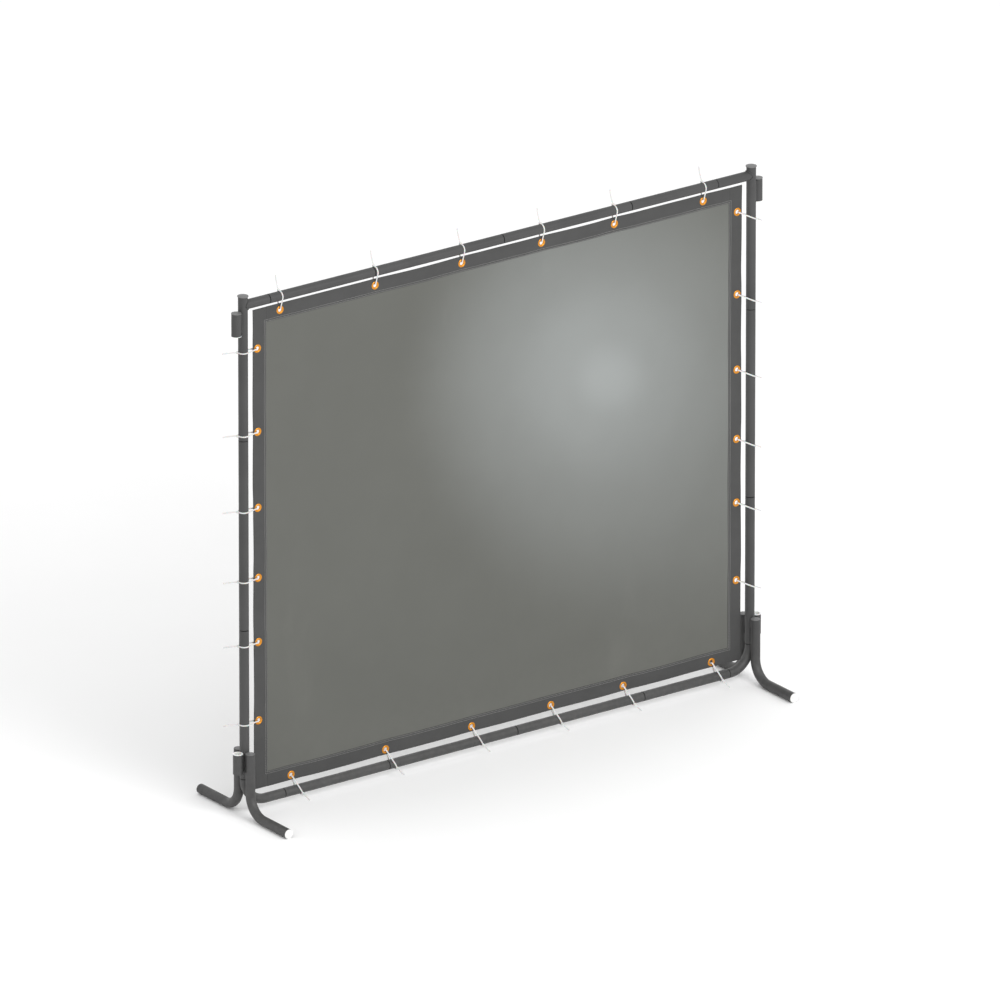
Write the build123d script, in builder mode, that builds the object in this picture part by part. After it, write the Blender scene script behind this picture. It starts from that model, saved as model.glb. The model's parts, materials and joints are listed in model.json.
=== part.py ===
from build123d import *
from math import asin, cos, hypot, radians, sin, tan

# Welding curtain screen: a plug-together tube frame on four bent legs, with a PVC curtain laced into it.
# Frame: +X to the right along the rails, +Y to the rear, +Z up, millimetres.
# Origin: on the floor, midway between the two posts, in the plane of the frame.

# Tube stock: 33.7 mm outside, 2 mm wall, swaged at one end to plug into the next length.
tube_radius = 33.7 / 2
tube_wall = 2.0
bore_radius = tube_radius - tube_wall
spigot_clearance = 0.2
spigot_radius = bore_radius - spigot_clearance
spigot_length = 45.0
joint_reveal = 3.0  # width of the swaged neck that shows between two tubes
cope_clearance = 0.05

# Frame
post_x = 1065.0  # post axis from the centre
bottom_rail_z = 46.0
top_rail_z = bottom_rail_z + 1807.0
post_top_z = top_rail_z + 32.0
upper_joint_z = top_rail_z - 487.0
lower_joint_z = top_rail_z - 1174.0
corner_radius = 92.0  # bend of the bottom corners, on the tube's axis
corner_joint_z = bottom_rail_z + corner_radius

# Each rail is the same kit of four tubes; these are the joints of the leftmost end of each row.
rail_lengths = (436.0, 538.0, 538.0, 364.0)
top_rail_start = -961.0
bottom_rail_start = -904.0

# Legs: two bent tubes per post, welded in front of it and behind it.
leg_reach = 260.0  # from the post's axis to the end of a leg
leg_top_z = 236.0
leg_bend_radius = 75.0
weld_gap = 0.3
leg_y = 2 * tube_radius + weld_gap

# Sockets that take the pins of the next screen, cut from the same tube
socket_gap = 1.0
socket_turn = 14.0  # degrees round the post: to the front on the left side, to the rear on the right
socket_reach = 2 * tube_radius + socket_gap
socket_x = post_x + socket_reach * cos(radians(socket_turn))
socket_y = socket_reach * sin(radians(socket_turn))
lower_socket_z = (164.0, 236.0)
upper_socket_z = (top_rail_z - 100.0, top_rail_z - 20.0)
liner_bore_radius = 12.7
liner_rim_radius = 17.6
liner_rim = 1.6
liner_floor = 3.0
liner_clearance = 0.05
cap_room = 10.0  # of an upper socket, above its liner

# Plastic plugs: how far the flange stands out past the tube, its height, its crown, and the stem's length
post_cap_form = (2.4, 2.2, 2.4, 20.0)
socket_cap_form = (0.6, 1.6, 0.8, 6.0)
foot_plug_form = (-0.2, 1.5, 1.0, 18.0)
leg_top_plug_form = (-0.4, 1.2, 0.6, 12.0)
foot_plug_height = foot_plug_form[1] + foot_plug_form[2]
plug_wall = 2.0
stem_radius = bore_radius - 0.1

# Weld beads
bead_radius = 4.0
bead_offset = 8.0  # of a bead's centre from the plane through both tubes' axes
bead_length = 30.0
bead_end_gap = 4.0  # from the end of a tube to a bead
bead_cut_margin = 1.0
fillet_height = 2.6

# Curtain
curtain_half_width = 1025.0
curtain_bottom_z = bottom_rail_z + 41.0
curtain_top_z = curtain_bottom_z + 1740.0
curtain_mid_z = (curtain_bottom_z + curtain_top_z) / 2
sheet_thickness = 1.0
sheet_margin = 1.0  # from the sheet's edge to the hems' folded edge
hem_width = 55.0
hem_thickness = 3.0

# Eyelets: six a side, and the gaps between them are these shares of the mean pitch.
pitch_shares = (1.115, 1.02, 0.942, 0.865, 1.058)
row_span_x = 1773.0
row_span_z = 1349.0
top_row_start = -912.0
bottom_row_start = -872.0
left_row_drop = 143.0  # first eyelet below the curtain's top edge
right_row_drop = 95.0
top_inset = 24.0
side_inset = 19.0
bottom_inset = 18.0
eyelet_hole_radius = 7.5
eyelet_radius = 15.0
barrel_wall = 0.8
flange_height = 1.8
lip_width = 1.6
lip_height = 1.0
cloth_clearance = 0.2
washer_thickness = 0.9
washer_radius = 14.0
washer_clearance = 0.1

# Cable ties
strap_width = 4.8
strap_thickness = 1.2
strap_clearance = 0.35
strap_turn_radius = 4.4  # inside radius of the strap's turn through an eyelet
turn_offset = 8.6  # centre of that turn, from the eyelet's centre towards the tube
head_size = (8.0, 6.4, 5.6)
tail_length = 50.0
leaning_tail_length = 55.4
tail_width = 4.4
tail_bow = 0.06  # sideways bow, as a share of the tail's length
head_seat = 0.7
rear_tail_tilt = -20.0  # degrees between a tail and the direction straight outwards, + to the front
floor_tail_length = 32.0
floor_tail_tilt = 50.0
tie_lean = 28.0  # degrees that the loops on the bottom rail and the right post lean along it

BASE = (Align.CENTER, Align.CENTER, Align.MIN)
SIDES = {"left": -1, "right": 1}


def save(part, name):
    """Writes one sub-part under its node name."""
    part.label = name
    export_step(part, f"parts/{name}.step")


def ring(outer, inner):
    """Annulus on the current sketch."""
    Circle(outer)
    Circle(inner, mode=Mode.SUBTRACT)


# ---------------------------------------------------------------- tubes


def spigot(face):
    """Swaged end: a short cone and a reduced nose, standing on the plane `face` of a tube's end."""
    with BuildPart(face) as nose:
        Cone(tube_radius, spigot_radius, joint_reveal, align=BASE)
        with Locations((0, 0, joint_reveal)):
            Cylinder(spigot_radius, spigot_length, align=BASE)
        Cylinder(spigot_radius - tube_wall, joint_reveal + spigot_length, align=BASE, mode=Mode.SUBTRACT)
    return nose.part


def straight_tube(start, direction, length, spigot_at_start=False, spigot_at_end=False):
    """Tube between two joint planes. Each end stops half a reveal short of its joint plane."""
    axis = Vector(direction)
    first = Vector(start) + axis * (joint_reveal / 2)
    last = Vector(start) + axis * (length - joint_reveal / 2)
    with BuildPart() as tube:
        with BuildSketch(Plane(first, z_dir=axis)):
            ring(tube_radius, bore_radius)
        extrude(amount=length - joint_reveal)
        if spigot_at_start:
            add(spigot(Plane(first, z_dir=-axis)))
        if spigot_at_end:
            add(spigot(Plane(last, z_dir=axis)))
    return tube.part


for side, sign in SIDES.items():
    x = sign * post_x

    with BuildPart() as upper_post:
        with BuildSketch(Plane.XY.offset(upper_joint_z + joint_reveal / 2)):
            with Locations((x, 0)):
                ring(tube_radius, bore_radius)
        extrude(amount=post_top_z - upper_joint_z - joint_reveal / 2)
    save(upper_post.part, f"{side}_upper_post")

    middle = straight_tube(
        (x, 0, lower_joint_z), (0, 0, 1), upper_joint_z - lower_joint_z, spigot_at_start=True, spigot_at_end=True
    )
    save(middle, f"{side}_middle_post")

    lower = straight_tube((x, 0, corner_joint_z), (0, 0, 1), lower_joint_z - corner_joint_z)
    save(lower, f"{side}_lower_post")


def add_rail(row, start, z):
    """Four tubes from left to right; every one but the last has its spigot on the right."""
    x = start
    for number, length in enumerate(rail_lengths, start=1):
        last = number == len(rail_lengths)
        save(straight_tube((x, 0, z), (1, 0, 0), length, spigot_at_end=not last), f"{row}_rail_{number}")
        x += length
    return x


top_rail_end = add_rail("top", top_rail_start, top_rail_z)
bottom_rail_end = add_rail("bottom", bottom_rail_start, bottom_rail_z)

# Rail stubs: coped on to the upper posts, with a spigot that plugs into the top rail.
for side, joint_x in (("left", top_rail_start), ("right", top_rail_end)):
    sign = SIDES[side]
    stub_length = post_x - abs(joint_x) - joint_reveal / 2
    with BuildPart() as stub:
        with BuildSketch(Plane((sign * post_x, 0, top_rail_z), z_dir=(-sign, 0, 0))):
            ring(tube_radius, bore_radius)
        extrude(amount=stub_length)
        with Locations((sign * post_x, 0, top_rail_z)):
            Cylinder(tube_radius + cope_clearance, 3 * tube_radius, mode=Mode.SUBTRACT)
        add(spigot(Plane((joint_x + sign * joint_reveal / 2, 0, top_rail_z), z_dir=(-sign, 0, 0))))
    save(stub.part, f"{side}_rail_stub")

# Bottom corners: a bend that plugs up into the lower post and sideways into the bottom rail.
for side, joint_x in (("left", bottom_rail_start), ("right", bottom_rail_end)):
    sign = SIDES[side]
    top_end = corner_joint_z - joint_reveal / 2
    rail_end = joint_x + sign * joint_reveal / 2
    bend = corner_radius - 2 * joint_reveal
    with BuildPart() as corner:
        with BuildLine() as route:
            FilletPolyline(
                (sign * post_x, 0, top_end),
                (sign * post_x, 0, bottom_rail_z),
                (rail_end, 0, bottom_rail_z),
                radius=bend,
            )
        with BuildSketch(Plane((sign * post_x, 0, top_end), z_dir=(0, 0, -1))):
            ring(tube_radius, bore_radius)
        sweep(path=route.line)
        add(spigot(Plane((sign * post_x, 0, top_end), z_dir=(0, 0, 1))))
        add(spigot(Plane((rail_end, 0, bottom_rail_z), z_dir=(-sign, 0, 0))))
    save(corner.part, f"{side}_corner_bend")

# ---------------------------------------------------------------- legs

DEPTHS = {"front": -1, "rear": 1}
for side, sign in SIDES.items():
    for depth, way in DEPTHS.items():
        top = (sign * post_x, way * leg_y, leg_top_z)
        with BuildPart() as leg:
            with BuildLine() as route:
                FilletPolyline(
                    top,
                    (sign * post_x, way * leg_y, tube_radius),
                    (sign * post_x, way * (leg_reach - foot_plug_height), tube_radius),
                    radius=leg_bend_radius,
                )
            with BuildSketch(Plane(top, z_dir=(0, 0, -1))):
                ring(tube_radius, bore_radius)
            sweep(path=route.line)
        save(leg.part, f"{side}_{depth}_leg")

# ---------------------------------------------------------------- plugs and caps


def plug(face, form):
    """Push-in plastic plug. `face` lies on the tube's end and points out of the tube."""
    overlap, rim_height, crown_height, stem_length = form
    flange_radius = tube_radius + overlap
    crown_z = rim_height + crown_height
    crown_radius = (flange_radius**2 + crown_height**2) / (2 * crown_height)
    half_angle = asin(flange_radius / crown_radius) / 2
    on_crown = (crown_radius * sin(half_angle), crown_z - crown_radius * (1 - cos(half_angle)))
    with BuildPart() as piece:
        with BuildSketch(Plane.XZ):
            with BuildLine():
                Polyline(
                    (0, crown_z),
                    (0, -plug_wall),
                    (stem_radius - plug_wall, -plug_wall),
                    (stem_radius - plug_wall, -stem_length),
                    (stem_radius, -stem_length),
                    (stem_radius, 0),
                    (flange_radius, 0),
                    (flange_radius, rim_height),
                )
                ThreePointArc((flange_radius, rim_height), on_crown, (0, crown_z))
            make_face()
        revolve(axis=Axis.Z)
    return piece.part.moved(face.location)


for side, sign in SIDES.items():
    cap_face = Plane((sign * post_x, 0, post_top_z), z_dir=(0, 0, 1))
    save(plug(cap_face, post_cap_form), f"{side}_post_cap")
    socket_face = Plane((sign * socket_x, sign * socket_y, upper_socket_z[1]), z_dir=(0, 0, 1))
    save(plug(socket_face, socket_cap_form), f"{side}_socket_cap")
    for depth, way in DEPTHS.items():
        foot_face = Plane(
            (sign * post_x, way * (leg_reach - foot_plug_height), tube_radius), z_dir=(0, way, 0)
        )
        save(plug(foot_face, foot_plug_form), f"{side}_{depth}_foot_plug")

with BuildPart() as leg_top_plugs:
    for sign in SIDES.values():
        for way in DEPTHS.values():
            top_face = Plane((sign * post_x, way * leg_y, leg_top_z), z_dir=(0, 0, 1))
            add(plug(top_face, leg_top_plug_form))
save(leg_top_plugs.part, "leg_top_plugs")

# ---------------------------------------------------------------- sockets

for side, sign in SIDES.items():
    for level, (low, high) in (("lower", lower_socket_z), ("upper", upper_socket_z)):
        mouth_up = level == "lower"
        with BuildPart() as socket:
            with BuildSketch(Plane.XY.offset(low)):
                with Locations((sign * socket_x, sign * socket_y)):
                    ring(tube_radius, bore_radius)
            extrude(amount=high - low)
        save(socket.part, f"{level}_{side}_socket")

        mouth_place = (sign * socket_x, sign * socket_y, high if mouth_up else low)
        mouth = Plane(mouth_place, z_dir=(0, 0, 1 if mouth_up else -1))
        cup_depth = high - low if mouth_up else high - low - cap_room
        with BuildPart(mouth) as liner:
            Cylinder(liner_rim_radius, liner_rim, align=BASE)
            Cylinder(
                bore_radius - liner_clearance, cup_depth, align=(Align.CENTER, Align.CENTER, Align.MAX)
            )
            with Locations((0, 0, liner_rim)):
                Cylinder(
                    liner_bore_radius,
                    liner_rim + cup_depth - liner_floor,
                    align=(Align.CENTER, Align.CENTER, Align.MAX),
                    mode=Mode.SUBTRACT,
                )
        save(liner.part, f"{level}_{side}_socket_liner")

# ---------------------------------------------------------------- weld beads


def groove_beads(x1, y1, r1, x2, y2, r2, gap, spans):
    """Beads that fill the two grooves between parallel upright tubes, over each span of heights."""
    across = Vector(x2 - x1, y2 - y1)
    contact = Vector(x1, y1) + across.normalized() * (r1 + gap / 2)
    side_step = Vector(-across.Y, across.X).normalized() * bead_offset
    with BuildPart() as beads:
        for low, high in spans:
            for step in (side_step, -side_step):
                with Locations(contact + step + Vector(0, 0, low)):
                    Cylinder(bead_radius, high - low, align=BASE)
            for x, y, radius in ((x1, y1, r1), (x2, y2, r2)):
                with Locations((x, y, low - bead_cut_margin)):
                    Cylinder(radius, high - low + 2 * bead_cut_margin, align=BASE, mode=Mode.SUBTRACT)
    return beads.part


lower_bead_z = corner_joint_z + bead_end_gap
upper_bead_z = leg_top_z - bead_end_gap - bead_length
leg_weld_spans = [(low, low + bead_length) for low in (lower_bead_z, upper_bead_z)]
for side, sign in SIDES.items():
    with BuildPart() as leg_welds:
        for way in DEPTHS.values():
            post = (sign * post_x, 0, tube_radius)
            beside = (sign * post_x, way * leg_y, tube_radius)
            add(groove_beads(*post, *beside, weld_gap, leg_weld_spans))
    save(leg_welds.part, f"{side}_leg_welds")

with BuildPart() as socket_welds:
    for sign in SIDES.values():
        for low, high in (lower_socket_z, upper_socket_z):
            post = (sign * post_x, 0, tube_radius)
            beside = (sign * socket_x, sign * socket_y, tube_radius)
            add(groove_beads(*post, *beside, socket_gap, [(low + bead_end_gap, high - bead_end_gap)]))
save(socket_welds.part, "socket_welds")


def stub_weld(sign):
    """Fillet round a coped stub: what lies within a bead's height of both the post and the stub."""
    along_stub = Plane((sign * post_x, 0, top_rail_z), z_dir=(-sign, 0, 0))
    with BuildPart() as fillet:
        with BuildSketch(along_stub):
            Circle(tube_radius + fillet_height)
        extrude(amount=2 * tube_radius)
        with Locations(along_stub.origin):
            Cylinder(tube_radius + fillet_height, 4 * tube_radius, mode=Mode.INTERSECT)
            Cylinder(tube_radius, 4 * tube_radius, mode=Mode.SUBTRACT)
        with BuildSketch(along_stub):
            Circle(tube_radius)
        extrude(amount=2 * tube_radius, mode=Mode.SUBTRACT)
    return fillet.part


fillets = [stub_weld(sign) for sign in SIDES.values()]
with BuildPart() as stub_welds:
    add(fillets)
save(stub_welds.part, "stub_welds")

# ---------------------------------------------------------------- curtain


def row_positions(start, span):
    """Positions of six eyelets along an edge."""
    pitch = span / sum(pitch_shares)
    places = [start]
    for share in pitch_shares:
        places.append(places[-1] + share * pitch)
    return places


eyelet_points = {
    "top": [(x, 0, curtain_top_z - top_inset) for x in row_positions(top_row_start, row_span_x)],
    "bottom": [(x, 0, curtain_bottom_z + bottom_inset) for x in row_positions(bottom_row_start, row_span_x)],
    "left": [
        (side_inset - curtain_half_width, 0, curtain_top_z - drop)
        for drop in row_positions(left_row_drop, row_span_z)
    ],
    "right": [
        (curtain_half_width - side_inset, 0, curtain_top_z - drop)
        for drop in row_positions(right_row_drop, row_span_z)
    ],
}
all_points = [point for row in eyelet_points.values() for point in row]
barrel_radius = eyelet_hole_radius + barrel_wall
cloth_hole_radius = barrel_radius + cloth_clearance


def cut_eyelet_holes():
    """Punches every eyelet hole through the current part."""
    with Locations(*[Location(point, (90, 0, 0)) for point in all_points]):
        Cylinder(cloth_hole_radius, 2 * hem_thickness, mode=Mode.SUBTRACT)


with BuildPart() as sheet:
    with Locations((0, 0, curtain_mid_z)):
        Box(
            2 * (curtain_half_width - sheet_margin),
            sheet_thickness,
            curtain_top_z - curtain_bottom_z - 2 * sheet_margin,
        )
    cut_eyelet_holes()
save(sheet.part, "curtain_sheet")

inner_half_width = curtain_half_width - hem_width
hem_middle = hem_width / 2
hems = {
    "left": (hem_middle - curtain_half_width, curtain_mid_z, hem_width, curtain_top_z - curtain_bottom_z),
    "right": (curtain_half_width - hem_middle, curtain_mid_z, hem_width, curtain_top_z - curtain_bottom_z),
    "top": (0, curtain_top_z - hem_middle, 2 * inner_half_width, hem_width),
    "bottom": (0, curtain_bottom_z + hem_middle, 2 * inner_half_width, hem_width),
}
for row, (x, z, width, height) in hems.items():
    with BuildPart() as hem:
        with Locations((x, 0, z)):
            Box(width, hem_thickness, height)
        add(sheet.part, mode=Mode.SUBTRACT)
        cut_eyelet_holes()
    save(hem.part, f"{row}_hem")

# ---------------------------------------------------------------- eyelets

half_hem = hem_thickness / 2
rear_face = half_hem + washer_thickness

# Front flange, barrel and the rolled lip that clamps the washer, turned about the hole's axis.
with BuildPart() as eyelet:
    with BuildSketch(Plane.XY):
        with BuildLine():
            crown = ((eyelet_hole_radius + eyelet_radius) / 2, -half_hem - flange_height)
            ThreePointArc((eyelet_hole_radius, -half_hem), crown, (eyelet_radius, -half_hem))
            lip = (barrel_radius + lip_width, rear_face)
            Polyline((eyelet_radius, -half_hem), (barrel_radius, -half_hem), (barrel_radius, rear_face), lip)
            lip_crown = ((eyelet_hole_radius + lip[0]) / 2, rear_face + lip_height)
            ThreePointArc(lip, lip_crown, (eyelet_hole_radius, rear_face))
            Line((eyelet_hole_radius, rear_face), (eyelet_hole_radius, -half_hem))
        make_face()
    revolve(axis=Axis.Y)

with BuildPart() as washer:
    with BuildSketch(Plane.XZ.offset(-half_hem)):
        ring(washer_radius, barrel_radius + washer_clearance)
    extrude(amount=-washer_thickness)

for row, points in eyelet_points.items():
    with BuildPart() as eyelets:
        with Locations(*points):
            add(eyelet.part)
    save(eyelets.part, f"{row}_eyelets")
    with BuildPart() as washers:
        with Locations(*points):
            add(washer.part)
    save(washers.part, f"{row}_eyelet_washers")

# ---------------------------------------------------------------- cable ties


def loop_radius(a, b, angle):
    """Radius of an ellipse of half axes a and b, in the direction `angle`."""
    return a * b / hypot(b * cos(angle), a * sin(angle))


def cable_tie(reach, slope, tail, tilt):
    """Closed tie in the XY plane: the tube's axis passes through the origin, the eyelet lies at +X.

    `reach` is the distance from the tube's axis to the eyelet, square to the tube. `slope` is how far the
    loop leans along the tube. The tail leaves the far side of the tube, `tilt` degrees towards +Y.
    """
    lean = radians(slope)
    inner = tube_radius + strap_clearance
    inner_long = inner / cos(lean) + strap_width * tan(lean)
    outer = inner + strap_thickness
    outer_long = inner_long + strap_thickness
    turn_x = reach / cos(lean) - turn_offset
    head_angle = 180 - tilt
    out = Vector(cos(radians(head_angle)), sin(radians(head_angle)))
    across = Vector(-out.Y, out.X)
    seat = loop_radius(inner_long, inner, radians(head_angle))
    head_width, head_depth, head_height = head_size
    root = out * (seat + strap_thickness)
    tip = out * (seat + head_height + tail)
    middle = (root + tip) * 0.5 + across * (tail * tail_bow)
    with BuildPart() as tie:
        with BuildSketch():
            with BuildSketch(mode=Mode.PRIVATE) as outside:
                Ellipse(outer_long, outer)
                with Locations((turn_x, 0)):
                    Circle(strap_turn_radius + strap_thickness)
                make_hull()
            with BuildSketch(mode=Mode.PRIVATE) as inside:
                Ellipse(inner_long, inner)
                with Locations((turn_x, 0)):
                    Circle(strap_turn_radius)
                make_hull()
            add(outside.sketch)
            add(inside.sketch, mode=Mode.SUBTRACT)
        extrude(amount=strap_width / 2, both=True)
        with BuildSketch():
            with BuildLine():
                ThreePointArc(root, middle, tip)
            trace(line_width=strap_thickness)
        extrude(amount=tail_width / 2, both=True)
        with BuildSketch():
            with Locations(Location(out * (seat + head_seat + head_height / 2), (0, 0, head_angle))):
                Rectangle(head_height, head_depth)
        extrude(amount=head_width / 2, both=True)
    return tie.part


# For each row: the tube's own axis, how far the loops lean along it, and where the tails point.
tie_rows = {
    "top": (Vector(1, 0, 0), top_rail_z, 0.0, tail_length, rear_tail_tilt),
    "bottom": (Vector(1, 0, 0), bottom_rail_z, tie_lean, floor_tail_length, floor_tail_tilt),
    "left": (Vector(0, 0, 1), -post_x, 0.0, tail_length, rear_tail_tilt),
    "right": (Vector(0, 0, -1), post_x, tie_lean, leaning_tail_length, rear_tail_tilt),
}
FRONT = Vector(0, -1, 0)

for row, (tube_axis, tube_place, lean, tail, tilt) in tie_rows.items():
    with BuildPart() as ties:
        for point in eyelet_points[row]:
            eye = Vector(point)
            level = row in ("top", "bottom")
            foot = Vector(eye.X, 0, tube_place) if level else Vector(tube_place, 0, eye.Z)
            reach = (eye - foot).length
            centre = foot + tube_axis * (reach * tan(radians(lean)))
            towards_eye = (eye - centre).normalized()
            tie_plane = Plane(centre, x_dir=towards_eye, z_dir=towards_eye.cross(FRONT))
            add(cable_tie(reach, lean, tail, tilt).moved(tie_plane.location))
    save(ties.part, f"{row}_cable_ties")
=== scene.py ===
"""Looks of the welding curtain screen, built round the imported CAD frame. Metres, in the frame's own axes."""

import json
import math

import bpy
import numpy as np
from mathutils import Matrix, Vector


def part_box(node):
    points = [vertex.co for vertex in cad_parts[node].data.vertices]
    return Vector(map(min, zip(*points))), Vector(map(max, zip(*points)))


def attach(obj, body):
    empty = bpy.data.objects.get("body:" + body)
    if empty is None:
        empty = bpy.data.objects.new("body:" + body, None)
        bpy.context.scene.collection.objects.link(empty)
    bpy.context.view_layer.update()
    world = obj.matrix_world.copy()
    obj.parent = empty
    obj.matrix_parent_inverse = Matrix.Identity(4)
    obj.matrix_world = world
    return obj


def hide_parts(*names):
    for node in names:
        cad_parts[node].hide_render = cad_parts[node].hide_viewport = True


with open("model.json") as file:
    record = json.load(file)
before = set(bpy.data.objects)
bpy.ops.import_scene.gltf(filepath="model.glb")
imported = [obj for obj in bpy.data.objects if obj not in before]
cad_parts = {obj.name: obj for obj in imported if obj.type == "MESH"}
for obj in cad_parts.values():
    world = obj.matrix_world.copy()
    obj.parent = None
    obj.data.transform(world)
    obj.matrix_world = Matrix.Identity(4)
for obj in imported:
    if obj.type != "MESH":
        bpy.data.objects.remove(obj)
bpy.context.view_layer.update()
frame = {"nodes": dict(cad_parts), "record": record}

# ---------------------------------------------------------------- sizes, read from the frame

ROWS = ("top", "bottom", "left", "right")
EYELET_SPACING = 0.1  # less than the space between two eyelets, more than an eyelet's width
left_hem_low, left_hem_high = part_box("left_hem")
_, right_hem_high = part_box("right_hem")
sheet_low, sheet_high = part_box("curtain_sheet")
EDGE_LEFT, EDGE_RIGHT = left_hem_low.x, right_hem_high.x
EDGE_BOTTOM, EDGE_TOP = left_hem_low.z, left_hem_high.z
HEM_WIDTH = left_hem_high.x - left_hem_low.x
HEM_THICKNESS = left_hem_high.y - left_hem_low.y
SHEET_THICKNESS = sheet_high.y - sheet_low.y


def node_points(name):
    """The vertices of a CAD node, as rows of x, y, z."""
    return np.array([v.co for v in frame["nodes"][name].data.vertices], float)


def linked(name, data):
    """A new object in the scene."""
    piece = bpy.data.objects.new(name, data)
    bpy.context.scene.collection.objects.link(piece)
    return piece


def plain_mesh(name, points, faces):
    """A new object from points and faces, shaded flat."""
    mesh = bpy.data.meshes.new(name)
    mesh.from_pydata(points, [], faces)
    return linked(name, mesh)


def smooth(mesh, sharp_degrees):
    """Shades a mesh smooth between its sharp edges."""
    mesh.shade_smooth()
    mesh.set_sharp_from_angle(angle=math.radians(sharp_degrees))


def split_row(points, axis, gap):
    """Groups points into the separate pieces that stand more than `gap` apart along an axis."""
    ordered = points[np.argsort(points[:, axis])]
    breaks = np.where(np.diff(ordered[:, axis]) > gap)[0] + 1
    return np.split(ordered, breaks)


def eyelet_centres(row):
    """The middle of each eyelet of a row."""
    axis = 0 if row in ("top", "bottom") else 2
    rings = split_row(node_points(f"{row}_eyelets"), axis, EYELET_SPACING)
    return [(ring.min(axis=0) + ring.max(axis=0)) / 2 for ring in rings]


# Middles of all the eyelets, as rows of x, z.
EYELETS = np.array([centre for row in ROWS for centre in eyelet_centres(row)])[:, [0, 2]]

# ---------------------------------------------------------------- how the curtain hangs

GRID_STEP = 0.025  # of the simulated sheet
CELL_MARGIN = 1e-6  # in cells: points on the last line of the grid count as inside the last cell
PINNED_RADIUS = 0.026  # the eyelets hold the simulated sheet inside this radius
SETTLE_FRAMES = 40
SLACK = 0.0012  # share by which the sheet is longer and wider than the space between its eyelets
START_RIPPLE = 0.0012  # the sheet starts slightly uneven, so that it has a side to billow to
LARGEST_BILLOW = 0.0065  # out of the frame's plane
LARGEST_SAG = 0.0025  # in the frame's plane
FLAT_RADIUS = 0.018  # the eyelets clamp the curtain flat inside this radius
FREE_RADIUS = 0.075  # and it hangs freely outside this one

CLOTH_SETTINGS = {
    "quality": 6,
    "mass": 0.6,
    "tension_stiffness": 80,
    "compression_stiffness": 80,
    "shear_stiffness": 60,
    "bending_stiffness": 12,
    "vertex_group_bending": "hem",
    "bending_stiffness_max": 60,  # of the hem
    "tension_damping": 20,
    "compression_damping": 20,
    "shear_damping": 20,
    "air_damping": 6,
    "vertex_group_mass": "pinned",
    "shrink_min": -SLACK,
}

grid_columns = round((EDGE_RIGHT - EDGE_LEFT) / GRID_STEP)
grid_rows = round((EDGE_TOP - EDGE_BOTTOM) / GRID_STEP)
grid_x = np.linspace(EDGE_LEFT, EDGE_RIGHT, grid_columns + 1)
grid_z = np.linspace(EDGE_BOTTOM, EDGE_TOP, grid_rows + 1)


def eyelet_distance(x, z):
    """Distance from each point to the nearest eyelet's centre."""
    nearest = np.full(np.shape(x), np.inf)
    for eyelet_x, eyelet_z in EYELETS:
        nearest = np.minimum(nearest, np.hypot(x - eyelet_x, z - eyelet_z))
    return nearest


def settle():
    """Simulates the slack sheet held at its eyelets. Returns how far each grid point moves."""
    x, z = np.meshgrid(grid_x, grid_z)
    long_waves = START_RIPPLE * np.sin(3.1 * x + 1.3) * np.sin(4.3 * z + 0.4)
    short_waves = START_RIPPLE / 2 * np.sin(9.7 * x - 5.9 * z)
    flat = np.stack([x, np.zeros_like(x), z], axis=-1)
    start = flat.copy()
    start[..., 1] = long_waves + short_waves
    wide = grid_columns + 1
    faces = [
        (row * wide + col, row * wide + col + 1, (row + 1) * wide + col + 1, (row + 1) * wide + col)
        for row in range(grid_rows)
        for col in range(grid_columns)
    ]
    sheet = plain_mesh("settling", start.reshape(-1, 3).tolist(), faces)
    pinned = sheet.vertex_groups.new(name="pinned")
    pinned.add(np.where(eyelet_distance(x, z).ravel() < PINNED_RADIUS)[0].tolist(), 1.0, "REPLACE")
    stiff = sheet.vertex_groups.new(name="hem")
    edge = np.minimum.reduce([x - EDGE_LEFT, EDGE_RIGHT - x, z - EDGE_BOTTOM, EDGE_TOP - z])
    stiff.add(np.where(edge.ravel() <= HEM_WIDTH)[0].tolist(), 1.0, "REPLACE")
    cloth = sheet.modifiers.new("cloth", "CLOTH")
    for setting, value in CLOTH_SETTINGS.items():
        setattr(cloth.settings, setting, value)
    cloth.point_cache.frame_start = 1
    cloth.point_cache.frame_end = SETTLE_FRAMES
    for number in range(1, SETTLE_FRAMES + 1):
        bpy.context.scene.frame_set(number)
    settled = sheet.evaluated_get(bpy.context.evaluated_depsgraph_get()).data
    moved = np.array([v.co for v in settled.vertices], float).reshape(flat.shape) - flat
    bpy.data.objects.remove(sheet)
    bpy.context.scene.frame_set(1)
    return moved


def limited(moved):
    """The simulated moves, with the billow scaled and the sag cut down to the largest of each."""
    billow = moved[..., 1] * min(1.0, LARGEST_BILLOW / np.abs(moved[..., 1]).max())
    sag = np.clip(moved[..., [0, 2]], -LARGEST_SAG, LARGEST_SAG)
    return np.stack([sag[..., 0], billow, sag[..., 1]], axis=-1)


moved_grid = np.zeros((grid_rows + 1, grid_columns + 1, 3))
moved_grid = limited(settle())


def spline_weights(t):
    """Weights of a cubic B-spline's four neighbours."""
    return [(1 - t) ** 3 / 6, (3 * t**3 - 6 * t**2 + 4) / 6, (-3 * t**3 + 3 * t**2 + 3 * t + 1) / 6, t**3 / 6]


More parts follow.
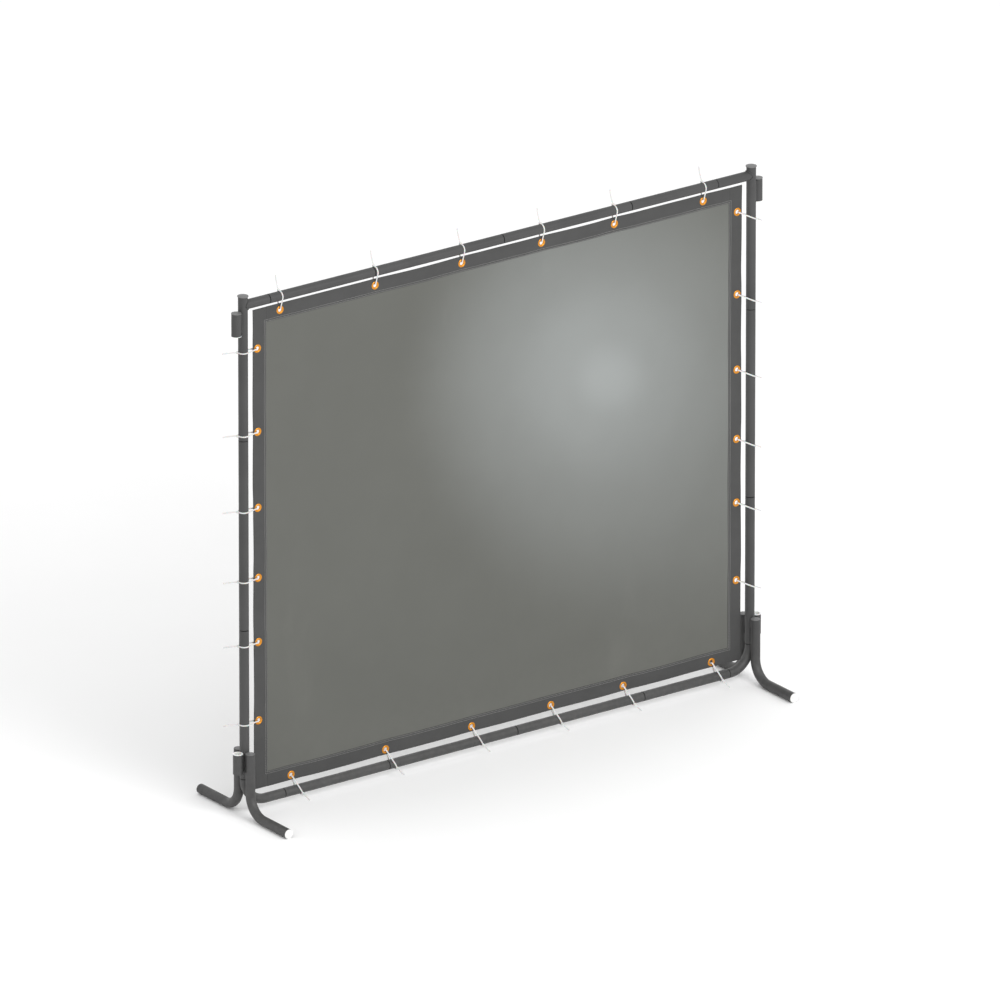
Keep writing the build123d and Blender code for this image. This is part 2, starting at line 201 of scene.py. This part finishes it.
def hang(x, z):
    """How far points of the flat curtain move when it hangs: a smooth spline over the simulated grid."""
    across = np.clip((x - EDGE_LEFT) / (EDGE_RIGHT - EDGE_LEFT) * grid_columns, 0, grid_columns - CELL_MARGIN)
    up = np.clip((z - EDGE_BOTTOM) / (EDGE_TOP - EDGE_BOTTOM) * grid_rows, 0, grid_rows - CELL_MARGIN)
    column, row = np.floor(across).astype(int), np.floor(up).astype(int)
    column_weights = spline_weights(across - column)
    row_weights = spline_weights(up - row)
    total = np.zeros(np.shape(x) + (3,))
    for i, row_weight in enumerate(row_weights):
        for j, column_weight in enumerate(column_weights):
            near_row = np.clip(row + i - 1, 0, grid_rows)
            near_column = np.clip(column + j - 1, 0, grid_columns)
            total += (row_weight * column_weight)[..., None] * moved_grid[near_row, near_column]
    free = np.clip((eyelet_distance(x, z) - FLAT_RADIUS) / (FREE_RADIUS - FLAT_RADIUS), 0, 1)
    return total * (free * free * (3 - 2 * free))[..., None]


# ---------------------------------------------------------------- curtain and hems

CELL = 0.0125  # of the cloth's mesh
EYELET_BLOCK = 0.015  # half the side of the square of cloth round each eyelet's hole
HOLE_RADIUS = 0.0088
SAME_PLACE = 0.0001  # two middles that are closer than this are one
HOLE_CORNER_STEPS = 6  # points of the hole between two corners of its square


def grid_lines(low, high, centres, marks):
    """Lines of a cloth mesh, at the marks, beside every eyelet, and about a cell apart elsewhere."""
    fixed = {low, high, *marks}
    for centre in centres:
        fixed |= {centre - EYELET_BLOCK, centre + EYELET_BLOCK}
    fixed = sorted(value for value in fixed if low <= value <= high)
    found = []
    for first, second in zip(fixed, fixed[1:]):
        is_block = any(abs((first + second) / 2 - centre) < SAME_PLACE for centre in centres)
        steps = 1 if is_block else max(1, round((second - first) / CELL))
        found += [first + (second - first) * i / steps for i in range(steps)]
    return found + [high]


def cloth_object(name, low_x, high_x, low_z, high_z, thickness):
    """Part of the hanging curtain between two corners, with the eyelets' holes, as a solid sheet."""
    marks_x = (EDGE_LEFT + HEM_WIDTH, EDGE_RIGHT - HEM_WIDTH)
    marks_z = (EDGE_BOTTOM + HEM_WIDTH, EDGE_TOP - HEM_WIDTH)
    xs = grid_lines(low_x, high_x, EYELETS[:, 0], marks_x)
    zs = grid_lines(low_z, high_z, EYELETS[:, 1], marks_z)
    points = [(x, z) for z in zs for x in xs]
    wide = len(xs)
    faces = []
    for row in range(len(zs) - 1):
        for col in range(wide - 1):
            first = row * wide + col
            corners = (first, first + 1, first + 1 + wide, first + wide)
            middle = ((xs[col] + xs[col + 1]) / 2, (zs[row] + zs[row + 1]) / 2)
            if np.hypot(*(EYELETS - middle).T).min() > SAME_PLACE:
                faces.append(corners)
                continue
            turns = 4 * HOLE_CORNER_STEPS
            rim = len(points)
            for step in range(turns):
                angle = math.radians(180) + 2 * math.pi * step / turns
                across, up = HOLE_RADIUS * math.cos(angle), HOLE_RADIUS * math.sin(angle)
                points.append((middle[0] + across, middle[1] + up))
            for corner in range(4):
                start = corner * HOLE_CORNER_STEPS
                for step in range(start, start + HOLE_CORNER_STEPS):
                    faces.append((corners[corner], rim + (step + 1) % turns, rim + step))
                end = (start + HOLE_CORNER_STEPS) % turns
                faces.append((corners[corner], corners[(corner + 1) % 4], rim + end))
    flat = np.array(points)
    hung = np.stack([flat[:, 0], np.zeros(len(flat)), flat[:, 1]], axis=1) + hang(flat[:, 0], flat[:, 1])
    cloth = plain_mesh(name, hung.tolist(), faces)
    skin = cloth.modifiers.new("thickness", "SOLIDIFY")
    skin.thickness = thickness
    skin.offset = 0
    if thickness > 2 * SHEET_THICKNESS:
        rounding = cloth.modifiers.new("rounding", "BEVEL")
        rounding.width = thickness / 4
        rounding.segments = 2
        rounding.limit_method = "ANGLE"
        rounding.angle_limit = math.radians(60)
    return settled_mesh(cloth, sharp_degrees=40)


def settled_mesh(piece, sharp_degrees):
    """Applies a piece's modifiers, then shades it smooth between its sharp edges."""
    evaluated = piece.evaluated_get(bpy.context.evaluated_depsgraph_get())
    mesh = bpy.data.meshes.new_from_object(evaluated)
    piece.modifiers.clear()
    old = piece.data
    piece.data = mesh
    bpy.data.meshes.remove(old)
    mesh.name = piece.name
    smooth(mesh, sharp_degrees)
    return piece


curtain = cloth_object("curtain", sheet_low.x, sheet_high.x, sheet_low.z, sheet_high.z, SHEET_THICKNESS)
hems = {}
for row in ROWS:
    hem_low, hem_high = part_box(f"{row}_hem")
    hems[row] = cloth_object(f"{row}_hem_band", hem_low.x, hem_high.x, hem_low.z, hem_high.z, HEM_THICKNESS)

# ---------------------------------------------------------------- stitching

STITCH_PITCH = 0.0058
STITCH_LENGTH = 0.0046
STITCH_RADIUS = 0.0007
STITCH_LIFT = STITCH_RADIUS * 0.3  # of a stitch's middle from the hem's face
STITCH_SHOULDER = 0.28  # where a stitch starts to taper, from its middle, as a share of its length
STITCH_ROWS = (HEM_WIDTH - 0.0085, HEM_WIDTH - 0.0025)  # distances in from the curtain's edge


def stitch_rows(name):
    """Two rows of stitches round each face of the hem, as small tapered threads."""
    points = []
    faces = []
    face_place = HEM_THICKNESS / 2 + STITCH_LIFT
    for inset in STITCH_ROWS:
        low_x, high_x = EDGE_LEFT + inset, EDGE_RIGHT - inset
        low_z, high_z = EDGE_BOTTOM + inset, EDGE_TOP - inset
        corners = [(low_x, low_z), (high_x, low_z), (high_x, high_z), (low_x, high_z)]
        for (x1, z1), (x2, z2) in zip(corners, corners[1:] + corners[:1]):
            run = math.hypot(x2 - x1, z2 - z1)
            count = int(run / STITCH_PITCH)
            along = np.array([x2 - x1, z2 - z1]) / run
            middles = np.array([x1, z1]) + along * ((np.arange(count)[:, None] + 0.5) * run / count)
            lifts = hang(middles[:, 0], middles[:, 1])
            for (x, z), lift in zip(middles, lifts):
                for face_side in (-1, 1):
                    centre = Vector((x, face_side * face_place, z)) + Vector(lift)
                    add_stitch(points, faces, centre, Vector((along[0], 0, along[1])))
    thread = plain_mesh(name, points, faces)
    thread.data.shade_smooth()
    return thread


def add_stitch(points, faces, centre, along):
    """One stitch: a square thread that tapers to a point at each end, lying along the seam."""
    across = Vector((along.z, 0, -along.x))
    out = Vector((0, 1, 0))
    first = len(points)
    points.append(centre - along * STITCH_LENGTH / 2)
    for share in (-STITCH_SHOULDER, STITCH_SHOULDER):
        ring_centre = centre + along * STITCH_LENGTH * share
        for turn in range(4):
            angle = math.pi / 4 + turn * math.pi / 2
            points.append(ring_centre + (across * math.cos(angle) + out * math.sin(angle)) * STITCH_RADIUS)
    points.append(centre + along * STITCH_LENGTH / 2)
    for turn in range(4):
        following = (turn + 1) % 4
        faces.append((first, first + 1 + following, first + 1 + turn))
        faces.append((first + 1 + turn, first + 1 + following, first + 5 + following, first + 5 + turn))
        faces.append((first + 5 + turn, first + 5 + following, first + 9))


stitching = stitch_rows("hem_stitching")

# ---------------------------------------------------------------- weld beads

RIPPLE_PITCH = 0.0024
RIPPLE_DEPTH = 0.16  # share of the bead's radius
RINGS_PER_RIPPLE = 4
BEAD_SIDES = 12
BEAD_END = 0.25  # radius of a bead's last ring, as a share of the bead's radius
COLUMN_GAP = 0.006  # more than this along x lies between the beads of two seams
STRAND_GAP = 0.004  # or more than this along y
STUB_BEAD_RADIUS = 0.0028
SADDLE_SWELL = 0.25  # share of the bead's radius by which its saddle is wider than the stub
SADDLE_ROUND = 7.6  # length once round the saddle, in its radii


def bead_object(name, points, faces, sharp_degrees):
    """A new object from points and faces, shaded smooth between its sharp edges."""
    piece = plain_mesh(name, points, faces)
    smooth(piece.data, sharp_degrees)
    return piece


def ripple(number):
    """The bead's radius at a ring, as a share of its radius on the crest of a ripple."""
    return 1 - RIPPLE_DEPTH * (0.5 - 0.5 * math.cos(2 * math.pi * number / RINGS_PER_RIPPLE))


def add_ring(points, place, first_axis, second_axis, radius):
    """The points of one round section of a bead."""
    for turn in range(BEAD_SIDES):
        angle = 2 * math.pi * turn / BEAD_SIDES
        points.append(place + (first_axis * math.cos(angle) + second_axis * math.sin(angle)) * radius)


def join_rings(faces, here, there):
    """The band of faces between two rings, which start at these points."""
    for turn in range(BEAD_SIDES):
        following = (turn + 1) % BEAD_SIDES
        faces.append((here + turn, here + following, there + following, there + turn))


def add_bead(points, faces, route, radius):
    """An upright bead with rounded ends."""
    first = len(points)
    count = len(route)
    for number, place in enumerate(route):
        to_end = min(number, count - 1 - number) / RINGS_PER_RIPPLE
        rounding = min(1.0, BEAD_END + math.sqrt(to_end))
        add_ring(points, place, Vector((1, 0, 0)), Vector((0, 1, 0)), radius * ripple(number) * rounding)
    for number in range(count - 1):
        here = first + number * BEAD_SIDES
        join_rings(faces, here, here + BEAD_SIDES)
    last = first + (count - 1) * BEAD_SIDES
    faces.append(tuple(first + turn for turn in reversed(range(BEAD_SIDES))))
    faces.append(tuple(last + turn for turn in range(BEAD_SIDES)))


def upright_beads(name, node):
    """The ripples of real welds, in place of a node's plain upright beads."""
    points = []
    faces = []
    for column in split_row(node_points(node), 0, COLUMN_GAP):
        for strand in split_row(column, 1, STRAND_GAP):
            low, high = Vector(strand.min(axis=0)), Vector(strand.max(axis=0))
            middle = (low + high) / 2
            ends = sorted(set(strand[:, 2].round(4)))  # the CAD beads have points at their two ends only
            for bottom, top in zip(ends[::2], ends[1::2]):
                rings = RINGS_PER_RIPPLE * round((top - bottom) / RIPPLE_PITCH)
                route = [Vector((middle.x, middle.y, z)) for z in np.linspace(bottom, top, rings + 1)]
                add_bead(points, faces, route, min(high.x - low.x, high.y - low.y) / 2)
    return bead_object(name, points, faces, sharp_degrees=50)


def stub_beads(name):
    """A rippled bead round the saddle where each rail stub meets its post."""
    points = []
    faces = []
    for side, sign in (("left", -1), ("right", 1)):
        post_low, post_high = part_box(f"{side}_upper_post")
        stub_low, stub_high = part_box(f"{side}_rail_stub")
        post_x = (post_low.x + post_high.x) / 2
        rail_z = (stub_low.z + stub_high.z) / 2
        saddle_radius = (stub_high.z - stub_low.z) / 2 + STUB_BEAD_RADIUS * SADDLE_SWELL
        rings = RINGS_PER_RIPPLE * round(SADDLE_ROUND * saddle_radius / RIPPLE_PITCH)
        route = []
        for number in range(rings):
            angle = 2 * math.pi * number / rings
            out = math.hypot(saddle_radius * math.sin(angle), STUB_BEAD_RADIUS)
            y, z = saddle_radius * math.cos(angle), saddle_radius * math.sin(angle)
            route.append(Vector((post_x - sign * out, y, rail_z + z)))
        add_saddle(points, faces, route)
    return bead_object(name, points, faces, sharp_degrees=60)


def add_saddle(points, faces, route):
    """A closed bead whose rings are framed from the saddle's middle, so that they never flip."""
    first = len(points)
    count = len(route)
    middle = sum(route, Vector()) / count
    for number, place in enumerate(route):
        along = (route[(number + 1) % count] - route[number - 1]).normalized()
        outward = place - middle
        outward = (outward - along * outward.dot(along)).normalized()
        add_ring(points, place, outward, along.cross(outward), STUB_BEAD_RADIUS * ripple(number))
    for number in range(count):
        following = (number + 1) % count
        join_rings(faces, first + number * BEAD_SIDES, first + following * BEAD_SIDES)


# ---------------------------------------------------------------- materials

EDGE_ROUNDING = 0.0005  # how far the shading rounds every edge


class Paint:
    """A Principled material and short ways to add its nodes. Patterns are placed by the frame's metres."""

    def __init__(self, name, roughness, metallic=0.0, specular=0.5, subsurface=0.0):
        self.material = bpy.data.materials.new(name)
        self.material.use_nodes = True
        self.tree = self.material.node_tree
        self.shader = self.tree.nodes["Principled BSDF"]
        self.shader.inputs["Roughness"].default_value = roughness
        self.shader.inputs["Metallic"].default_value = metallic
        self.shader.inputs["Specular IOR Level"].default_value = specular
        self.shader.inputs["Subsurface Weight"].default_value = subsurface
        self.place = self.tree.nodes.new("ShaderNodeTexCoord").outputs["Object"]
        self.normal = None

    def link(self, output, target):
        self.tree.links.new(output, target)

    def noise(self, scale, detail=2.0, stretch=(1, 1, 1), roughness=0.5):
        mapping = self.tree.nodes.new("ShaderNodeMapping")
        mapping.inputs["Scale"].default_value = stretch
        texture = self.tree.nodes.new("ShaderNodeTexNoise")
        texture.inputs["Scale"].default_value = scale
        texture.inputs["Detail"].default_value = detail
        texture.inputs["Roughness"].default_value = roughness
        self.link(self.place, mapping.inputs["Vector"])
        self.link(mapping.outputs["Vector"], texture.inputs["Vector"])
        return texture.outputs["Fac"]

    def wave(self, scale, direction):
        texture = self.tree.nodes.new("ShaderNodeTexWave")
        texture.bands_direction = direction
        texture.inputs["Scale"].default_value = scale
        self.link(self.place, texture.inputs["Vector"])
        return texture.outputs["Fac"]

    def axis(self, name):
        split = self.tree.nodes.new("ShaderNodeSeparateXYZ")
        self.link(self.place, split.inputs["Vector"])
        return split.outputs[name]

    def remap(self, value, low, high, to_low, to_high):
        """Turns the range from low to high into another range, with soft ends."""
        node = self.tree.nodes.new("ShaderNodeMapRange")
        node.interpolation_type = "SMOOTHSTEP"
        for name, number in (("From Min", low), ("From Max", high), ("To Min", to_low), ("To Max", to_high)):
            node.inputs[name].default_value = number
        self.link(value, node.inputs["Value"])
        return node.outputs["Result"]

    def combine(self, operation, first, second):
        node = self.tree.nodes.new("ShaderNodeMath")
        node.operation = operation
        self.link(first, node.inputs[0])
        self.link(second, node.inputs[1])
        return node.outputs["Value"]

    def times(self, first, second):
        return self.combine("MULTIPLY", first, second)

    def plus(self, first, second):
        return self.combine("ADD", first, second)

    def near(self, value, middle, half_width):
        """1 where a value is within a half width of the middle, 0 elsewhere."""
        node = self.tree.nodes.new("ShaderNodeMath")
        node.operation = "COMPARE"
        self.link(value, node.inputs[0])
        node.inputs[1].default_value = middle
        node.inputs[2].default_value = half_width
        return node.outputs["Value"]

    def mix(self, share, first, second):
        """The first colour where the share is 0, and the second where it is 1."""
        node = self.tree.nodes.new("ShaderNodeMix")
        node.data_type = "RGBA"
        self.link(share, node.inputs["Factor"])
        for colour, name in ((first, "A"), (second, "B")):
            target = next(s for s in node.inputs if s.name == name and s.type == "RGBA")
            if isinstance(colour, tuple):
                target.default_value = (*colour, 1)
            else:
                self.link(colour, target)
        return next(s for s in node.outputs if s.type == "RGBA")

    def colour(self, output):
        self.link(output, self.shader.inputs["Base Color"])

    def roughness(self, output):
        self.link(output, self.shader.inputs["Roughness"])

    def bump(self, height, distance):
        """Adds a relief of this height in metres, on top of the ones before it."""
        node = self.tree.nodes.new("ShaderNodeBump")
        node.inputs["Distance"].default_value = distance
        node.inputs["Strength"].default_value = 1.0
        self.link(height, node.inputs["Height"])
        if self.normal is None:
            rounding = self.tree.nodes.new("ShaderNodeBevel")
            rounding.inputs["Radius"].default_value = EDGE_ROUNDING
            self.normal = rounding.outputs["Normal"]
        self.link(self.normal, node.inputs["Normal"])
        self.normal = node.outputs["Normal"]
        self.link(self.normal, self.shader.inputs["Normal"])


def shade(colour, factor):
    """A lighter or darker version of a colour."""
    return tuple(channel * factor for channel in colour)


DUST = (0.30, 0.29, 0.27)
LIGHT_DEPTH = 0.002  # how far light goes into the nylon that has a subsurface share
# Near black on the bare necks and the tube rims beside them: partly the bare steel's own dark, partly painted
# shade in the joint gaps.
BARE_NECK_AND_SHADE = (0.008, 0.008, 0.008)
JOINT_REVEAL = 0.003  # width of the bare neck between two plugged tubes
NECK_SHADE_MARGIN = 0.0001  # so that the painted shade also darkens the rims of the tubes beside a neck
LENGTHS_PER_RAIL = 4


def joint_places():
    """Where the necks show: (axis along the tube, its joint planes, axis across, middle, half width)."""
    groups = []
    for row in ("top", "bottom"):
        boxes = [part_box(f"{row}_rail_{number}") for number in range(1, LENGTHS_PER_RAIL + 1)]
        joints = [low.x - JOINT_REVEAL / 2 for low, _ in boxes] + [boxes[-1][1].x + JOINT_REVEAL / 2]
        low, high = boxes[0]
        groups.append(("X", joints, "Z", (low.z + high.z) / 2, (high.z - low.z) / 2))
    low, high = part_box("left_lower_post")
    upper_low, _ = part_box("left_upper_post")
    joints = [low.z - JOINT_REVEAL / 2, high.z + JOINT_REVEAL / 2, upper_low.z - JOINT_REVEAL / 2]
    groups.append(("Z", joints, "Y", (low.y + high.y) / 2, (high.y - low.y) / 2))
    return groups


def necks_and_joint_shade(paint):
    """1 on the bare necks between plugged tubes and the tube rims beside them, 0 elsewhere: where the joint
    gaps get painted shade.
    """
    total = None
    for along, joints, across, middle, half_width in joint_places():
        beside = paint.near(paint.axis(across), middle, half_width)
        for joint in joints:
            between = paint.near(paint.axis(along), joint, JOINT_REVEAL / 2 + NECK_SHADE_MARGIN)
            neck_and_shade = paint.times(between, beside)
            total = neck_and_shade if total is None else paint.plus(total, neck_and_shade)
    return total


def powder_coat(name, base, orange_peel):
    """Baked powder coat: orange peel, faint clouds, rub marks, dust low down, painted shade on the bare necks.
    """
    paint = Paint(name, 0.5, specular=0.36)
    cloud = paint.remap(paint.noise(5, 4), 0.3, 0.7, 0, 1)
    body = paint.mix(cloud, shade(base, 0.90), shade(base, 1.10))
    rubs = paint.remap(paint.noise(38, 6, stretch=(1, 1, 0.35), roughness=0.7), 0.66, 0.80, 0, 0.35)
    body = paint.mix(rubs, body, shade(base, 1.6))
    low_down = paint.remap(paint.axis("Z"), 0.0, 0.30, 0.08, 0)
    dust = paint.times(low_down, paint.remap(paint.noise(60, 5), 0.35, 0.75, 0.3, 1))
    body = paint.mix(dust, body, DUST)
    # Painted shade: the bare necks and the tube rims beside them go near black, so that the joint gaps read
    # dark.
    paint.colour(paint.mix(necks_and_joint_shade(paint), body, BARE_NECK_AND_SHADE))
    paint.roughness(paint.remap(paint.noise(22, 4), 0.3, 0.7, 0.42, 0.58))
    paint.bump(paint.noise(700, 2), orange_peel)
    return paint.material


def weld_metal(name, base):
    """Painted weld: rougher and a little darker than the tube beside it."""
    paint = Paint(name, 0.55, specular=0.45)
    paint.colour(paint.mix(paint.noise(300, 3), shade(base, 0.75), shade(base, 1.15)))
    paint.bump(paint.noise(900, 3), 0.00018)
    return paint.material


def moulded_plastic(name, base, roughness, subsurface=0.0):
    """Injection-moulded plastic: a fine spark-eroded grain, slight flow marks and handling grime."""
    paint = Paint(name, roughness, specular=0.5, subsurface=subsurface)
    paint.shader.inputs["Subsurface Scale"].default_value = LIGHT_DEPTH
    flow = paint.noise(30, 3, stretch=(1, 1, 2.5))
    body = paint.mix(paint.remap(flow, 0.3, 0.7, 0, 1), shade(base, 0.93), shade(base, 1.04))
    grime = paint.remap(paint.noise(120, 5), 0.60, 0.80, 0, 0.35)
    paint.colour(paint.mix(grime, body, shade(base, 0.72)))
    paint.roughness(paint.remap(paint.noise(180, 3), 0.3, 0.7, roughness - 0.06, roughness + 0.08))
    paint.bump(paint.noise(1600, 2), 0.00004)
    return paint.material


def curtain_pvc(name, base):
    """Calendered PVC: a fine leathery grain, faint clouds and smears, dust low down, a soft unevenness."""
    paint = Paint(name, 0.5, specular=0.32)
    cloud = paint.remap(paint.noise(1.7, 5, roughness=0.6), 0.3, 0.7, 0, 1)
    body = paint.mix(cloud, shade(base, 0.975), shade(base, 1.025))
    smears = paint.remap(paint.noise(3.2, 6, stretch=(1, 1, 0.4), roughness=0.65), 0.56, 0.78, 0, 0.05)
    body = paint.mix(smears, body, DUST)
    low_down = paint.remap(paint.axis("Z"), 0.08, 0.45, 0.06, 0)
    dust = paint.times(low_down, paint.noise(24, 5))
    paint.colour(paint.mix(dust, body, DUST))
    paint.roughness(paint.remap(paint.noise(9, 5), 0.3, 0.7, 0.44, 0.56))
    paint.bump(paint.noise(1.1, 2, stretch=(1, 1, 0.5)), 0.004)
    paint.bump(paint.noise(520, 3), 0.00007)
    return paint.material


def hem_pvc(name, base):
    """Doubled PVC: the same grain, slightly uneven, with clouds and scuffs."""
    paint = Paint(name, 0.52, specular=0.32)
    cloud = paint.remap(paint.noise(7, 5), 0.3, 0.7, 0, 1)
    body = paint.mix(cloud, shade(base, 0.94), shade(base, 1.06))
    scuffs = paint.remap(paint.noise(45, 6, roughness=0.7), 0.62, 0.80, 0, 0.30)
    paint.colour(paint.mix(scuffs, body, shade(base, 1.7)))
    paint.roughness(paint.remap(paint.noise(30, 4), 0.3, 0.7, 0.46, 0.60))
    paint.bump(paint.noise(14, 3), 0.0012)
    paint.bump(paint.noise(520, 3), 0.00007)
    return paint.material


def sewing_thread(name, base):
    """Bonded polyester thread: a twisted lay."""
    paint = Paint(name, 0.6, specular=0.3)
    paint.colour(paint.mix(paint.noise(900, 2), shade(base, 0.8), shade(base, 1.1)))
    paint.bump(paint.wave(900, "DIAGONAL"), 0.0001)
    return paint.material


def spun_brass(name, base):
    """Rolled brass eyelets: tarnish in patches and a very fine grain."""
    paint = Paint(name, 0.3, metallic=0.85, specular=0.5)
    tarnish = paint.remap(paint.noise(160, 4), 0.50, 0.80, 0, 0.55)
    paint.colour(paint.mix(tarnish, base, shade(base, 0.62)))
    paint.roughness(paint.remap(paint.noise(260, 3), 0.3, 0.7, 0.24, 0.42))
    paint.bump(paint.noise(1400, 2), 0.00003)
    return paint.material


FRAME_GREY = (0.052, 0.052, 0.052)
CURTAIN_OLIVE = (0.0995, 0.1015, 0.091)
HEM_GREY = (0.051, 0.051, 0.0505)
CAP_GREY = (0.14, 0.14, 0.14)
WHITE_NYLON = (0.80, 0.80, 0.79)
TIE_NYLON = (0.60, 0.60, 0.59)
EYELET_BRASS = (0.66, 0.265, 0.03)
THREAD_GREY = (0.33, 0.33, 0.32)

SLOT_MATERIALS = {
    "frame_paint": powder_coat("frame_powder_coat", FRAME_GREY, 0.00012),
    "weld_paint": weld_metal("painted_weld", FRAME_GREY),
    "cap_plastic": moulded_plastic("dark_cap_plastic", CAP_GREY, 0.45),
    "foot_plastic": moulded_plastic("white_foot_plastic", WHITE_NYLON, 0.42),
    "liner_nylon": moulded_plastic("white_liner_nylon", WHITE_NYLON, 0.38, subsurface=0.1),
    "curtain_pvc": curtain_pvc("curtain_pvc", CURTAIN_OLIVE),
    "hem_pvc": hem_pvc("hem_pvc", HEM_GREY),
    "eyelet_brass": spun_brass("eyelet_brass", EYELET_BRASS),
    "tie_nylon": moulded_plastic("natural_tie_nylon", TIE_NYLON, 0.34, subsurface=0.2),
}
THREAD = sewing_thread("grey_thread", THREAD_GREY)


def wear(piece, material):
    """Gives a piece one material all over."""
    piece.data.materials.clear()
    piece.data.materials.append(material)


slot_of = {entry["node"]: entry["material_slot"] for entry in frame["record"]["subparts"]}
for node, piece in frame["nodes"].items():
    for index in range(len(piece.material_slots)):
        piece.material_slots[index].material = SLOT_MATERIALS[slot_of[node]]

# ---------------------------------------------------------------- pieces on the frame's body

BODY = "root"
wear(curtain, SLOT_MATERIALS["curtain_pvc"])
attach(curtain, BODY)
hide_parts("curtain_sheet")
for row, hem in hems.items():
    wear(hem, SLOT_MATERIALS["hem_pvc"])
    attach(hem, BODY)
    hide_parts(f"{row}_hem")
wear(stitching, THREAD)
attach(stitching, BODY)
UPRIGHT_WELDS = ("left_leg_welds", "right_leg_welds", "socket_welds")
beads_of = {node: upright_beads(f"{node}_rippled", node) for node in UPRIGHT_WELDS}
beads_of["stub_welds"] = stub_beads("stub_welds_rippled")
for node, beads in beads_of.items():
    wear(beads, SLOT_MATERIALS["weld_paint"])
    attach(beads, BODY)
    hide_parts(node)

# ---------------------------------------------------------------- camera

VIEW_AZIMUTH = math.radians(-36.0)
VIEW_ELEVATION = math.radians(21.2)
VIEW_WIDTH = 3.4026  # of the picture, at the object
LENS_MM = 1000.0  # so long that the view is nearly parallel
SENSOR_MM = 36.0
FAR_CLIP = 500
LOOK_AT = Vector((0.0073, 0.002, 0.9044))

# Direction from the object to the camera.
back = Vector(
    (
        math.sin(VIEW_AZIMUTH) * math.cos(VIEW_ELEVATION),
        -math.cos(VIEW_AZIMUTH) * math.cos(VIEW_ELEVATION),
        math.sin(VIEW_ELEVATION),
    )
)
camera_data = bpy.data.cameras.new("camera")
camera_data.lens = LENS_MM
camera_data.sensor_width = SENSOR_MM
camera_data.clip_end = FAR_CLIP
camera = linked("camera", camera_data)
camera.location = LOOK_AT + back * (VIEW_WIDTH * LENS_MM / SENSOR_MM)
camera.rotation_mode = "QUATERNION"
camera.rotation_quaternion = (-back).to_track_quat("-Z", "Y")
bpy.context.scene.camera = camera

# ---------------------------------------------------------------- light and floor

WORLD_STRENGTH = 1.06
KEY_PLACE = Vector((0.3, -6.2, 5.0))
KEY_TARGET = Vector((0, 0, 0.9))
KEY_SIZE = 4.0
KEY_WATTS = 225

world = bpy.data.worlds.new("studio")
world.use_nodes = True
world.node_tree.nodes["Background"].inputs["Color"].default_value = (1, 1, 1, 1)
world.node_tree.nodes["Background"].inputs["Strength"].default_value = WORLD_STRENGTH
bpy.context.scene.world = world
bpy.context.scene.view_settings.view_transform = "Standard"


def aimed(name, kind, place, target):
    """A light at `place` that points at `target`."""
    light = linked(name, bpy.data.lights.new(name, kind))
    light.location = place
    light.rotation_mode = "QUATERNION"
    light.rotation_quaternion = (target - place).to_track_quat("-Z", "Y")
    return light


key = aimed("key", "AREA", KEY_PLACE, KEY_TARGET)
key.data.shape = "DISK"
key.data.size = KEY_SIZE
key.data.energy = KEY_WATTS
key.visible_camera = False

# A pool of light on the curtain: beams of four widths on one axis, which reach nothing else.
POOL_CENTRE = Vector((0.474, 0, 1.243))
POOL_DISTANCE = 4.0
# The radius of each beam at the curtain, and its share of the watts.
POOL_BEAMS = {0.85: 0.42, 0.65: 0.09, 0.40: 0.24, 0.14: 0.25}
POOL_WATTS = 2400
POOL_COLOUR = (0.823, 0.870, 1.0)
POOL_LAMP_RADIUS = 0.05
pool_target = bpy.data.collections.new("lit_by_pool")
pool_target.objects.link(curtain)
for number, (radius, share) in enumerate(POOL_BEAMS.items()):
    beam = aimed(f"pool_{number}", "SPOT", POOL_CENTRE + back * POOL_DISTANCE, POOL_CENTRE)
    beam.data.energy = POOL_WATTS * share
    beam.data.color = POOL_COLOUR
    beam.data.spot_size = 2 * math.atan(radius / POOL_DISTANCE)
    beam.data.spot_blend = 1.0
    beam.data.shadow_soft_size = POOL_LAMP_RADIUS
    beam.visible_glossy = False
    beam.light_linking.receiver_collection = pool_target

FLOOR_HALF = 200.0  # so far that its edge never shows
FLOOR_DARK = (0.935, 0.935, 0.935)
FLOOR_PALE = (0.955, 0.955, 0.955)
floor_corners = [(x * FLOOR_HALF, y * FLOOR_HALF, 0) for x, y in ((-1, -1), (1, -1), (1, 1), (-1, 1))]
floor = plain_mesh("floor", floor_corners, [(0, 1, 2, 3)])
floor_paint = Paint("pale_floor", 0.9, specular=0.1)
floor_paint.colour(floor_paint.mix(floor_paint.noise(3, 4), FLOOR_DARK, FLOOR_PALE))
wear(floor, floor_paint.material)
